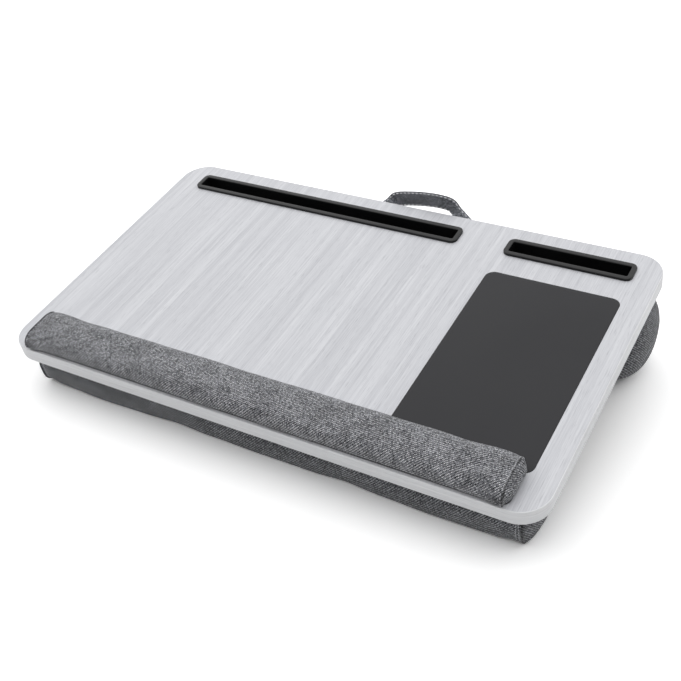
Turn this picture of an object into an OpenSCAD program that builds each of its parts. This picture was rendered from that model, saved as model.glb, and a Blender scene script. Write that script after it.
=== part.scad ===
// Lap desk: a flat wood-grain board on two stuffed bolsters, a slim one at the front and a thick
// one at the rear, with a tablet slot, a phone slot, an inlaid mouse pad, a wrist rest and a
// fabric carrying strap behind the rear edge. Everything is drawn in the board's own frame,
// X to the right, Y to the rear, Z square to the board with zero on its top face, and is then
// tilted to the slope at which the bolsters hold the board above a flat surface.

/* [Board] */
// Width of the board
board_w = 560; // [480:1:640]
// Depth of the board, front to rear
board_d = 333; // [315:1:380]
// Thickness of the board with both laminates
board_t = 15; // [14:0.5:22]
// Radius of the board's four corners
corner_r = 28; // [14:1:40]
// Thickness of each laminate sheet
laminate_t = 0.6; // [0.4:0.1:0.9]
// Thickness of the edge band
band_t = 1; // [0.6:0.1:1.6]

/* [Stance] */
// Slope of the board in degrees, front edge low
slope = 10; // [7:0.5:12]
// Height of the board's front top edge above the surface
front_h = 55; // [50:1:62]

/* [Device slots] */
// Outer length of the tablet slot's rim
tablet_len = 327; // [260:1:340]
// Outer length of the phone slot's rim
phone_len = 129; // [90:1:135]
// Outer width of both rims, front to rear
rim_w = 25; // [22:0.5:32]
// Width of the rim around each pocket
rim_side = 5; // [4:0.5:6]
// Height of the rim above the board
rim_h = 2.6; // [1:0.2:3]
// Outer corner radius of the rim
rim_r = 6.5; // [5:0.5:11]
// Wall thickness of the slot trays
tray_wall = 1.5; // [1:0.1:2]
// Distance from the rims to the board's rear edge
slot_rear = 19; // [14:1:26]
// Distance from the tablet rim to the board's left edge
tablet_side = 29; // [24:1:40]
// Distance from the phone rim to the board's right edge
phone_side = 24.5; // [20:0.5:34]

/* [Mouse pad] */
// Width of the mouse pad
pad_w = 132; // [110:1:150]
// Depth of the mouse pad, front to rear
pad_d = 223; // [180:1:226]
// Corner radius of the mouse pad
pad_r = 9; // [4:0.5:16]
// Thickness of the pad's leatherette skin
pad_skin_t = 0.8; // [0.5:0.1:1.2]
// Thickness of the pad's foam backing
pad_base_t = 0.8; // [0.5:0.1:2]
// Distance from the pad to the board's right edge
pad_side = 23.5; // [18:0.5:34]
// Distance from the pad to the board's front edge
pad_front = 39; // [30:1:46]

/* [Wrist rest] */
// Depth of the wrist rest, front to rear
wrist_d = 45; // [38:1:56]
// Height of the wrist rest above the board
wrist_h = 16; // [12:0.5:22]
// Distance from the wrist rest to the board's left edge
wrist_left = 24; // [20:1:60]
// Distance from the wrist rest to the board's right edge
wrist_right = 26.5; // [20:0.5:60]
// Distance from the wrist rest to the board's front edge
wrist_front = 2; // [1:0.5:6]
// Thickness of the wrist rest's base plate
wrist_base_t = 1.5; // [1:0.1:2.5]

/* [Cushions] */
// Thickness of the cushion fabric
fabric_t = 1.5; // [1:0.1:2.5]
// Depth of the front bolster, front to rear
front_bolster_d = 80; // [60:1:96]
// Distance from each end of the front bolster to the board's side
front_bolster_side = 10; // [6:1:60]
// Distance from the front bolster to the board's front edge
front_bolster_y = 9; // [4:1:16]
// How far the front bolster's ends swell past their seams
front_end = 11; // [6:1:24]
// Depth of the rear bolster, front to rear
rear_bolster_d = 100; // [84:1:116]
// Distance from each end of the rear bolster to the board's side
rear_bolster_side = 0; // [-3:1:60]
// How far the rear bolster reaches behind the board's rear edge
rear_bolster_over = 5; // [0:1:10]
// How far the rear bolster's ends swell past their seams
rear_end = 40; // [20:1:50]
// Thickness of the panel that carries both bolsters
panel_t = 4; // [3.6:0.1:6]
// Thickness of the cloth that covers the panel
cloth_t = 1; // [0.6:0.1:1.6]
// Distance from the panel to the board's edges at the sides
panel_side = 18; // [12:1:30]
// Distance from the panel to the board's front and rear edges
panel_end = 10; // [8:1:20]

/* [Panel screws] */
// Shank diameter of the panel screws
screw_d = 3.5; // [3:0.1:4]
// Head diameter of the panel screws
screw_head_d = 7; // [6:0.1:8]
// Length of the panel screws under the head's flat
screw_len = 14; // [11:0.5:15]
// Number of panel screws in each row
screw_count = 4; // [3:1:6]

/* [Carrying strap] */
// Width of the strap's ribbon
strap_w = 18; // [16:0.5:24]
// Thickness of the strap's ribbon
strap_t = 1.8; // [1.2:0.1:2.2]
// Distance between the middles of the strap's two tails
strap_span = 100; // [80:1:130]
// Length of the strap's grip between its two corners
grip_len = 66; // [50:1:78]
// Shift of the strap to the right of the board's middle
strap_shift = 19; // [-40:1:40]
// Distance from the board's rear edge to the middle of the grip's ribbon
grip_gap = 10; // [8:0.5:14]
// Height of the grip's middle above the board's top
grip_rise = 2.5; // [0:0.5:8]
// Arch of the grip between its corners
grip_arch = 3.5; // [0:0.5:6]
// Length of each tail that is held under the board
tail_len = 30; // [24:1:36]
// Thickness of the anchor plates under the tails
plate_t = 0.8; // [0.6:0.1:1]

/* [Hidden] */

$fn = 64;

// Clearances
seat_gap = 0.3;       // around a piece let into its cut-out
shank_gap = 0.05;     // around a screw's shank in its pilot hole
soft_gap = 0.3;       // between a cushion's fabric and its filling
swing_gap = 0.3;      // between the strap's grip and its tails
floor_cut = 0.5;      // depth at which a bolster is pressed flat on the surface
top_press = 1.5;      // how far a bolster's middle is raised against the panel
lap = 1;              // how far a cutting shape runs past a face

// Heights in the board's frame
core_t = board_t - 2 * laminate_t;
core_top = -laminate_t;
core_bottom = core_top - core_t;
underside = -board_t;
panel_z = underside - panel_t;
cloth_z = panel_z - cloth_t;
half_w = board_w / 2;

// Stance: heights above the surface of a point given in the board's frame
function lift(y, z) = front_h + y * sin(slope) + z * cos(slope);
function ahead(y, z) = y * cos(slope) - z * sin(slope);
// The surface's height in the board's frame below depth y
function floor_z(y) = -(front_h + y * sin(slope)) / cos(slope);

// Slots and pad, in the board's frame
rim_y = board_d - slot_rear - rim_w / 2;
tablet_x = -half_w + tablet_side + tablet_len / 2;
phone_x = half_w - phone_side - phone_len / 2;
pocket_ease = 1;      // how much rounder the pocket is than its rim
pocket_r = rim_r - rim_side + pocket_ease;
pad_x = half_w - pad_side - pad_w / 2;
pad_y = pad_front + pad_d / 2;
pad_t = pad_skin_t + pad_base_t;

// Wrist rest
wrist_len = board_w - wrist_left - wrist_right;
wrist_x = (wrist_left - wrist_right) / 2;
wrist_y = wrist_front + wrist_d / 2;
wrist_r = 9;          // corner radius in plan
wrist_power = 3;      // squareness of the hump
rest_fabric_t = 1.2;  // thinner than the cushions' fabric

// Bolsters
end_power = 2.4;      // squareness of the domed ends
front_power = 3.6;    // squareness of the front bolster's section
rear_power = 2.2;     // squareness of the rear bolster's section
seam_pinch = 0.03;    // share by which the seams draw the section in
seam_reach = 7;       // distance over which a seam draws it in
seam_fade = 28;       // distance past which the section is full again
front_bolster_len = board_w - 2 * front_bolster_side;
rear_bolster_len = board_w - 2 * rear_bolster_side;
front_y = front_bolster_y + front_bolster_d / 2;
rear_y = board_d + rear_bolster_over - rear_bolster_d / 2;
function mid_z(y) = (cloth_z + floor_z(y)) / 2 + top_press;
function dual(power) = power / (power - 1);
// Half height of a section of half depth ry that dips floor_cut below the surface
function half_h(y, ry, power) =
    pow(pow(lift(y, mid_z(y)) + floor_cut, dual(power))
        - pow(ry * sin(slope), dual(power)), 1 / dual(power)) / cos(slope);

// Panel
panel_front_y = panel_end;
panel_rear_y = board_d - panel_end;
row_gap = 18;         // from a bolster to the row of screws beside it
row_inset = 40;       // from the panel's sides to the outermost screws
screw_rows = [front_bolster_y + front_bolster_d + row_gap,
    rear_y - rear_bolster_d / 2 - row_gap];
screw_pitch = (board_w - 2 * (panel_side + row_inset)) / (screw_count - 1);
screw_head_h = (screw_head_d - screw_d) / 2;
screw_point = 3;      // length of the tapered point
screw_tip_d = 0.9;

// Strap
tail_z = underside - strap_t / 2;
bend_gap = 2.6;       // from the board's rear edge to the strap where it bends up
hinge_y = board_d + bend_gap + strap_t / 2;
grip_y = board_d + grip_gap;
tail_rear_y = hinge_y - strap_t / 2 - swing_gap;
tail_front_y = tail_rear_y - tail_len;
notch_gap = 1;        // around each tail in the panel's notch
plate_side = 2;       // from a tail's edges to its anchor plate
plate_w = strap_w - 2 * plate_side;
plate_d = 12;
plate_r = 2;
plate_y = board_d - slot_rear / 2;
plate_z = tail_z - strap_t / 2 - plate_t;
strap_screw_d = 2.6;
strap_screw_head_d = 5;
strap_screw_head_h = 0.9;
strap_screw_len = 11;
strap_screw_pitch = 8;

// Origin: on the surface, under the middle of the whole depth
rear_reach = ahead(rear_y, mid_z(rear_y))
    + pow(pow(rear_bolster_d / 2 * cos(slope), dual(rear_power))
        + pow(half_h(rear_y, rear_bolster_d / 2, rear_power) * sin(slope), dual(rear_power)),
        1 / dual(rear_power));
mid_y = rear_reach / 2;

// Colours
wood_face = "#d2d4d8";
wood_edge = "#b8babd";
fibre_tan = "#a89274";
slot_black = "#2b2c2e";
pad_black = "#404042";
heather = "#77787c";
dark_heather = "#58595d";
foam_white = "#e9e6dc";
cloth_black = "#2e2f32";
steel = "#b9bcc0";

// Tilts the board's frame to its slope and puts the origin on the surface
module on_bolsters() {
    translate([0, -mid_y, front_h]) rotate([slope, 0, 0]) children();
}

// Rectangle with round corners, centred
module round_rect(w, d, r) {
    union() {
        square([w - 2 * r, d], center = true);
        square([w, d - 2 * r], center = true);
        for (x = [-1, 1], y = [-1, 1])
            translate([x * (w / 2 - r), y * (d / 2 - r)]) circle(r = r);
    }
}

// The board's outline drawn in by a distance
module board_outline(inset) {
    translate([0, board_d / 2])
        round_rect(board_w - 2 * inset, board_d - 2 * inset, corner_r - inset);
}

// Flat slab from height z upwards
module slab(z, t) {
    translate([0, 0, z]) linear_extrude(height = t) children();
}

// Cut-out for one slot tray: the pocket's walls and their clearance
module slot_cut(x, length) {
    translate([x, rim_y]) round_rect(length - 2 * rim_side + 2 * (tray_wall + seat_gap),
        rim_w - 2 * rim_side + 2 * (tray_wall + seat_gap), pocket_r + tray_wall);
}

module slot_cuts() {
    slot_cut(tablet_x, tablet_len);
    slot_cut(phone_x, phone_len);
}

module pad_outline(grow) {
    translate([pad_x, pad_y]) round_rect(pad_w + 2 * grow, pad_d + 2 * grow, pad_r + grow);
}

// Places of the panel screws
function screw_places() = [for (y = screw_rows, i = [0 : screw_count - 1])
    [(i - (screw_count - 1) / 2) * screw_pitch, y]];

// Places of the strap's anchor screws
function anchor_places() = [for (s = [-1, 1], k = [-1, 1])
    [strap_shift + s * strap_span / 2 + k * strap_screw_pitch / 2, plate_y]];

module pilot_holes(places, d, z, depth) {
    for (p = places) translate([p[0], p[1], z]) cylinder(d = d + 2 * shank_gap, h = depth);
}

module board_core() {
    color(fibre_tan) on_bolsters() difference() {
        slab(core_bottom, core_t) board_outline(band_t);
        slab(core_bottom - lap, core_t + 2 * lap) slot_cuts();
        slab(-pad_t, pad_t) pad_outline(seat_gap);
        pilot_holes(screw_places(), screw_d, core_bottom - lap,
            screw_len - panel_t - laminate_t + lap + seat_gap);
        pilot_holes(anchor_places(), strap_screw_d, core_bottom - lap,
            strap_screw_len - strap_t - plate_t - laminate_t + lap + seat_gap);
    }
}

module top_laminate() {
    color(wood_face) on_bolsters() slab(core_top, laminate_t) difference() {
        board_outline(band_t);
        slot_cuts();
        pad_outline(seat_gap);
    }
}

module bottom_laminate() {
    color(wood_edge) on_bolsters() difference() {
        slab(underside, laminate_t) board_outline(band_t);
        pilot_holes(screw_places(), screw_d, underside - lap, laminate_t + 2 * lap);
        pilot_holes(anchor_places(), strap_screw_d, underside - lap, laminate_t + 2 * lap);
    }
}

module edge_band() {
    color(wood_edge) on_bolsters() slab(underside, board_t) difference() {
        board_outline(0);
        board_outline(band_t);
    }
}

// Slot tray: a rim that stands on the board and a pocket with a closed floor
module tray(x, length) {
    pocket_len = length - 2 * rim_side;
    pocket_w = rim_w - 2 * rim_side;
    tray_bottom = underside + laminate_t;
    on_bolsters() translate([x, rim_y, 0]) difference() {
        union() {
            linear_extrude(height = rim_h) round_rect(length, rim_w, rim_r);
            slab(tray_bottom, lap - tray_bottom) round_rect(pocket_len + 2 * tray_wall,
                pocket_w + 2 * tray_wall, pocket_r + tray_wall);
        }
        slab(tray_bottom + tray_wall, rim_h + lap - tray_bottom)
            round_rect(pocket_len, pocket_w, pocket_r);
    }
}

module tablet_tray() {
    color(slot_black) tray(tablet_x, tablet_len);
}

module phone_tray() {
    color(slot_black) tray(phone_x, phone_len);
}

module mouse_pad_skin() {
    color(pad_black) on_bolsters() slab(-pad_skin_t, pad_skin_t) pad_outline(0);
}

module mouse_pad_base() {
    color(slot_black) on_bolsters() slab(-pad_t, pad_base_t) pad_outline(0);
}

// Two triangles for each cell between two rings of n points; ring i starts at first + i * n
function band_faces(n, rings, first, flip) = [for (i = [0 : rings - 2], j = [0 : n - 1])
    let (a = first + i * n + j, b = first + i * n + (j + 1) % n, c = b + n, d = a + n)
    each (flip ? [[a, b, c], [a, c, d]] : [[a, c, b], [a, d, c]])];
// A flat lid over one ring
function lid_faces(n, first, flip) = [for (j = [1 : n - 2])
    flip ? [first, first + j, first + j + 1] : [first, first + j + 1, first + j]];

// Wrist rest: a ring is the plan outline drawn in by inset at a height
plan_steps = 5;
function plan_ring(length, d, r, z) = [for (q = [0 : 3], k = [0 : plan_steps])
    let (a = 90 * q + 90 * k / plan_steps,
        sx = (q == 0 || q == 3) ? 1 : -1, sy = q < 2 ? 1 : -1)
    [sx * (length / 2 - r) + r * cos(a), sy * (d / 2 - r) + r * sin(a), z]];
plan_n = 4 * (plan_steps + 1);
// Heights follow a rounded hump from the side wall to the crown
function hump(part, power) = pow(1 - pow(1 - part, power), 1 / power);
rest_levels = [0, 0.02, 0.08, 0.2, 0.42, 0.7, 0.9];
function rest_rings(length, d, base, top, r) = [for (q = rest_levels)
    let (inset = q * d / 2)
    each plan_ring(length - 2 * inset, d - 2 * inset, max(r - inset, r / d * (d - 2 * inset)),
        max(base, top * hump(q, wrist_power)))];
rest_n = len(rest_levels);

module wrist_rest_cover() {
    inner_len = wrist_len - 2 * rest_fabric_t;
    inner_d = wrist_d - 2 * rest_fabric_t;
    outer = rest_rings(wrist_len, wrist_d, 0, wrist_h, wrist_r);
    inner = rest_rings(inner_len, inner_d, 0, wrist_h - rest_fabric_t,
        wrist_r - rest_fabric_t);
    shift = len(outer);
    rim = [for (j = [0 : plan_n - 1]) let (b = (j + 1) % plan_n)
        each [[j, b, b + shift], [j, b + shift, j + shift]]];
    color(heather) on_bolsters() translate([wrist_x, wrist_y, 0]) polyhedron(
        points = concat(outer, inner),
        faces = concat(band_faces(plan_n, rest_n, 0, false),
            lid_faces(plan_n, (rest_n - 1) * plan_n, false),
            band_faces(plan_n, rest_n, shift, true),
            lid_faces(plan_n, shift + (rest_n - 1) * plan_n, true), rim));
}

module wrist_rest_foam() {
    side = rest_fabric_t + soft_gap;
    foam = rest_rings(wrist_len - 2 * side, wrist_d - 2 * side, wrist_base_t,
        wrist_h - side, wrist_r - side);
    color(foam_white) on_bolsters() translate([wrist_x, wrist_y, 0]) polyhedron(
        points = foam,
        faces = concat(band_faces(plan_n, rest_n, 0, false),
            lid_faces(plan_n, (rest_n - 1) * plan_n, false), lid_faces(plan_n, 0, true)));
}

module wrist_rest_base() {
    side = rest_fabric_t + soft_gap;
    color(cloth_black) on_bolsters() translate([wrist_x, wrist_y, 0])
        linear_extrude(height = wrist_base_t)
            round_rect(wrist_len - 2 * side, wrist_d - 2 * side, wrist_r - side);
}

module cushion_panel() {
    panel_d = panel_rear_y - panel_front_y;
    notch_front = tail_front_y - notch_gap;
    color(fibre_tan) on_bolsters() difference() {
        slab(panel_z, panel_t) translate([0, panel_front_y + panel_d / 2])
            round_rect(board_w - 2 * panel_side, panel_d, corner_r / 2);
        for (s = [-1, 1])
            slab(panel_z - lap, panel_t + 2 * lap)
                translate([strap_shift + s * strap_span / 2, notch_front + board_d / 2])
                    square([strap_w + 2 * notch_gap, board_d], center = true);
        for (p = screw_places()) translate([p[0], p[1], 0]) {
            translate([0, 0, panel_z - lap])
                cylinder(d = screw_d + 2 * shank_gap, h = panel_t + 2 * lap);
            translate([0, 0, panel_z])
                cylinder(d1 = screw_head_d + 2 * shank_gap, d2 = screw_d + 2 * shank_gap,
                    h = screw_head_h);
        }
    }
}

module panel_cloth() {
    panel_d = panel_rear_y - panel_front_y;
    color(cloth_black) on_bolsters() slab(cloth_z, cloth_t)
        translate([0, panel_front_y + panel_d / 2])
            round_rect(board_w - 2 * panel_side, panel_d, corner_r / 2);
}

// Countersunk wood screw: flat head down, shank up, with a short point
module panel_screw() {
    rotate_extrude() polygon([[0, 0], [screw_head_d / 2, 0], [screw_d / 2, screw_head_h],
        [screw_d / 2, screw_len - screw_point], [screw_tip_d / 2, screw_len], [0, screw_len]]);
}

module panel_screws() {
    color(steel) on_bolsters() for (p = screw_places())
        translate([p[0], p[1], panel_z]) panel_screw();
}

// Bolster: rings of the section at stations along X, each a station and a scale
ring_n = 24;
end_steps = 4;
// Turn from the section's lowest point to the point that meets the sloping surface
function contact(ry, rz, power) = atan(pow(tan(slope) * ry / rz, 1 / (2 - 2 / power)));
function pinch(x, seam) = 1 - seam_pinch * exp(-pow((abs(x) - seam) / seam_reach, 2));
function tube_stations(seam) = [for (x = [-seam, -seam + seam_reach, -seam + seam_fade, 0,
    seam - seam_fade, seam - seam_reach, seam]) [x, pinch(x, seam)]];
function end_stations(seam, swell) = [for (k = [0 : end_steps - 1])
    let (a = 90 * k / end_steps)
    [seam + swell * pow(sin(a), 2 / end_power),
        pow(cos(a), 2 / end_power) * (1 - seam_pinch * (1 - k / end_steps))]];
function signed_pow(v, power) = sign(v) * pow(abs(v), power);
// One ring: a rounded section, pressed flat against the cloth above and the surface below
function bolster_ring(x, s, y, ry, power, inset) =
    let (rz = half_h(y, ry, power) - inset, first = 270 - contact(ry, rz + inset, power))
    [for (j = [0 : ring_n - 1])
        let (a = first + 360 * (j + 0.5) / ring_n,
            py = y + s * (ry - inset) * signed_pow(cos(a), 2 / power),
            pz = mid_z(y) + s * rz * signed_pow(sin(a), 2 / power))
        [x, py, min(cloth_z - inset, max(pz, floor_z(py) + inset / cos(slope)))]];
function bolster_rings(stations, y, ry, power, inset) =
    [for (p = stations) each bolster_ring(p[0], p[1], y, ry, power, inset)];

// Fabric tube between the two seams
module bolster_cover(length, swell, y, d, power) {
    stations = tube_stations(length / 2 - swell);
    rings = len(stations);
    outer = bolster_rings(stations, y, d / 2, power, 0);
    inner = bolster_rings(stations, y, d / 2, power, fabric_t);
    shift = len(outer);
    last = (rings - 1) * ring_n;
    rims = [for (j = [0 : ring_n - 1]) let (b = (j + 1) % ring_n)
        each [[j, b, b + shift], [j, b + shift, j + shift],
            [last + j, last + b + shift, last + b],
            [last + j, last + j + shift, last + b + shift]]];
    polyhedron(points = concat(outer, inner),
        faces = concat(band_faces(ring_n, rings, 0, false),
            band_faces(ring_n, rings, shift, true), rims));
}

// Domed end panel beyond the right seam; side is 1 for the right end and -1 for the left
module bolster_end(length, swell, y, d, power, side) {
    seam = length / 2 - swell;
    outer_stations = end_stations(seam, swell);
    inner_stations = end_stations(seam, swell - fabric_t);
    outer = bolster_rings(outer_stations, y, d / 2, power, 0);
    inner = bolster_rings(inner_stations, y, d / 2, power, fabric_t);
    tip = [[length / 2, y, mid_z(y)], [length / 2 - fabric_t, y, mid_z(y)]];
    shift = len(outer);
    last = (end_steps - 1) * ring_n;
    poles = 2 * shift;
    rim = [for (j = [0 : ring_n - 1]) let (b = (j + 1) % ring_n)
        each [[j, b, b + shift], [j, b + shift, j + shift],
            [last + j, poles, last + b], [last + shift + j, last + shift + b, poles + 1]]];
    mirror([side < 0 ? 1 : 0, 0, 0]) polyhedron(points = concat(outer, inner, tip),
        faces = concat(band_faces(ring_n, end_steps, 0, false),
            band_faces(ring_n, end_steps, shift, true), rim));
}

// Stuffing: the whole inner form in one piece
module bolster_fill(length, swell, y, d, power) {
    seam = length / 2 - swell;
    inset = fabric_t + soft_gap;
    tube = tube_stations(seam);
    right = end_stations(seam, swell - inset);
    left = [for (k = [end_steps - 1 : -1 : 1]) [-right[k][0], right[k][1]]];
    stations = concat(left, tube, [for (k = [1 : end_steps - 1]) right[k]]);
    rings = len(stations);
    points = bolster_rings(stations, y, d / 2, power, inset);
    last = (rings - 1) * ring_n;
    poles = len(points);
    caps = [for (j = [0 : ring_n - 1]) let (b = (j + 1) % ring_n)
        each [[j, b, poles], [last + j, poles + 1, last + b]]];
    polyhedron(points = concat(points, [[-length / 2 + inset, y, mid_z(y)],
        [length / 2 - inset, y, mid_z(y)]]),
        faces = concat(band_faces(ring_n, rings, 0, false), caps));
}

module front_bolster_cover() {
    color(dark_heather) on_bolsters()
        bolster_cover(front_bolster_len, front_end, front_y, front_bolster_d, front_power);
}

module front_bolster_end_left() {
    color(dark_heather) on_bolsters()
        bolster_end(front_bolster_len, front_end, front_y, front_bolster_d, front_power, -1);
}

module front_bolster_end_right() {
    color(dark_heather) on_bolsters()
        bolster_end(front_bolster_len, front_end, front_y, front_bolster_d, front_power, 1);
}

module front_bolster_fill() {
    color(foam_white) on_bolsters()
        bolster_fill(front_bolster_len, front_end, front_y, front_bolster_d, front_power);
}

module rear_bolster_cover() {
    color(dark_heather) on_bolsters()
        bolster_cover(rear_bolster_len, rear_end, rear_y, rear_bolster_d, rear_power);
}

module rear_bolster_end_left() {
    color(dark_heather) on_bolsters()
        bolster_end(rear_bolster_len, rear_end, rear_y, rear_bolster_d, rear_power, -1);
}

module rear_bolster_end_right() {
    color(dark_heather) on_bolsters()
        bolster_end(rear_bolster_len, rear_end, rear_y, rear_bolster_d, rear_power, 1);
}

module rear_bolster_fill() {
    color(foam_white) on_bolsters()
        bolster_fill(rear_bolster_len, rear_end, rear_y, rear_bolster_d, rear_power);
}

// Strap: each leg turns the flat ribbon a quarter turn on its way up to the grip's corner
leg_steps = 6;
grip_steps = 6;
function blend(a, b, t) = a * (1 - t) + b * t;
leg_foot = [strap_span / 2, hinge_y, tail_z];
leg_head = [grip_len / 2, grip_y, grip_rise];
// Station of the ribbon: its middle, the way its width points and the way its face points
function leg_station(t) =
    let (width = [cos(90 * t), 0, sin(90 * t)])
    [blend(leg_foot, leg_head, t), width, cross(width, leg_head - leg_foot)];
function grip_station(t) =
    [[blend(grip_len / 2, -grip_len / 2, t), grip_y,
        grip_rise + grip_arch * sin(180 * t)], [0, 0, 1], [0, -1, 0]];
function mirrored(p) = [[-p[0][0], p[0][1], p[0][2]], [-p[1][0], p[1][1], p[1][2]],
    [-p[2][0], p[2][1], p[2][2]]];
function unit(v) = v / norm(v);
// Four corners of the ribbon's section at a station
function ribbon_ring(p) =
    let (w = unit(p[1]) * strap_w / 2, f = unit(p[2]) * strap_t / 2)
    [p[0] + w + f, p[0] - w + f, p[0] - w - f, p[0] + w - f];

module strap_grip() {
    legs = [for (k = [0 : leg_steps]) leg_station(k / leg_steps)];
    grip = [for (k = [1 : grip_steps - 1]) grip_station(k / grip_steps)];
    back = [for (k = [leg_steps : -1 : 0]) mirrored(leg_station(k / leg_steps))];
    rings = concat(legs, grip, back);
    color(dark_heather) on_bolsters() translate([strap_shift, 0, 0]) {
        polyhedron(points = [for (p = rings) each ribbon_ring(p)],
            faces = concat(band_faces(4, len(rings), 0, false), lid_faces(4, 0, true),
                lid_faces(4, (len(rings) - 1) * 4, false)));
    }
}

module strap_tails() {
    color(dark_heather) on_bolsters() difference() {
        for (s = [-1, 1])
            translate([strap_shift + s * strap_span / 2 - strap_w / 2, tail_front_y,
                underside - strap_t]) cube([strap_w, tail_len, strap_t]);
        pilot_holes(anchor_places(), strap_screw_d, underside - strap_t - lap,
            strap_t + 2 * lap);
    }
}

module strap_plates() {
    color(steel) on_bolsters() difference() {
        for (s = [-1, 1])
            slab(plate_z, plate_t)
                translate([strap_shift + s * strap_span / 2, plate_y])
                    round_rect(plate_w, plate_d, plate_r);
        pilot_holes(anchor_places(), strap_screw_d, plate_z - lap, plate_t + 2 * lap);
    }
}

module strap_screws() {
    color(steel) on_bolsters() for (p = anchor_places())
        translate([p[0], p[1], plate_z]) {
            cylinder(d = strap_screw_d, h = strap_screw_len);
            translate([0, 0, -strap_screw_head_h])
                cylinder(d = strap_screw_head_d, h = strap_screw_head_h);
        }
}

board_core();
top_laminate();
bottom_laminate();
edge_band();
tablet_tray();
phone_tray();
mouse_pad_skin();
mouse_pad_base();
wrist_rest_cover();
wrist_rest_foam();
wrist_rest_base();
cushion_panel();
panel_cloth();
panel_screws();
front_bolster_cover();
front_bolster_end_left();
front_bolster_end_right();
front_bolster_fill();
rear_bolster_cover();
rear_bolster_end_left();
rear_bolster_end_right();
rear_bolster_fill();
strap_grip();
strap_tails();
strap_plates();
strap_screws();
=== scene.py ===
import math
import bpy
import numpy as np
from mathutils import Matrix


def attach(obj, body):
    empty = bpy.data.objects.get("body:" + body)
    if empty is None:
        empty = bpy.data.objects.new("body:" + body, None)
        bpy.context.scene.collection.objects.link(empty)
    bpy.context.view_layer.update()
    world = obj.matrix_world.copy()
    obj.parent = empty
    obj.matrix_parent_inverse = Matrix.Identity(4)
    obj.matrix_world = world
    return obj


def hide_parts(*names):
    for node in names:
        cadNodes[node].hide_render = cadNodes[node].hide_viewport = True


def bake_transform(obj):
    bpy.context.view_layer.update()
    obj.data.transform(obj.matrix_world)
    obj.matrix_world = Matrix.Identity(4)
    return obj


# Lap desk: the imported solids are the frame; fabric, trim and finishes are added here.
# Shapes are worked out in the board's own millimetres (x right, y to the rear, z square to
# the board, zero on its top face) and then turned into the object's frame in metres.

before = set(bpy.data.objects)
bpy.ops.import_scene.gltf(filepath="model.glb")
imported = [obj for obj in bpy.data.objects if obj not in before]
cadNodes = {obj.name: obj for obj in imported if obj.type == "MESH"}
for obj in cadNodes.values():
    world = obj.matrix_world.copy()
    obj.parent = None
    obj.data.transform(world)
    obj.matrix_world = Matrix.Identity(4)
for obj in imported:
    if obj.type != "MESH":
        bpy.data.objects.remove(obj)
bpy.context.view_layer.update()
print("frame loaded with", len(cadNodes), "nodes")

stance = {"slope": math.radians(10.0), "frontHeight": 55.0, "middle": 172.239}
board = {"width": 560.0, "depth": 333.0, "thick": 15.0, "corner": 28.0, "band": 1.0}
panel = {"side": 18.0, "end": 10.0, "thick": 4.0, "cloth": 1.0, "corner": 14.0}
underside = -board["thick"]
clothZ = underside - panel["thick"] - panel["cloth"]
scene = bpy.context.scene


def toRow(points):
    # y' = y cos s - z sin s - middle, z' = y sin s + z cos s + front height, then metres
    p = np.asarray(points, float)
    sine, cosine = math.sin(stance["slope"]), math.cos(stance["slope"])
    y = p[..., 1] * cosine - p[..., 2] * sine - stance["middle"]
    z = p[..., 1] * sine + p[..., 2] * cosine + stance["frontHeight"]
    return np.stack([p[..., 0], y, z], -1) / 1000


def floorZ(y):
    # height of the surface in the board's frame: -(front height + y sin s) / cos s
    return -(stance["frontHeight"] + y * math.sin(stance["slope"])) / math.cos(stance["slope"])


def ringQuads(rows, around, closeRows=False):
    # point numbers of the quads between neighbouring rings
    i = np.arange(rows if closeRows else rows - 1)[:, None]
    j = np.arange(around)[None, :]
    following, right = (i + 1) % rows, (j + 1) % around
    return np.stack([i * around + j, i * around + right, following * around + right,
                     following * around + j], -1).reshape(-1, 4)


def linked(name, mesh):
    piece = bpy.data.objects.new(name, mesh)
    scene.collection.objects.link(piece)
    return piece


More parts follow.
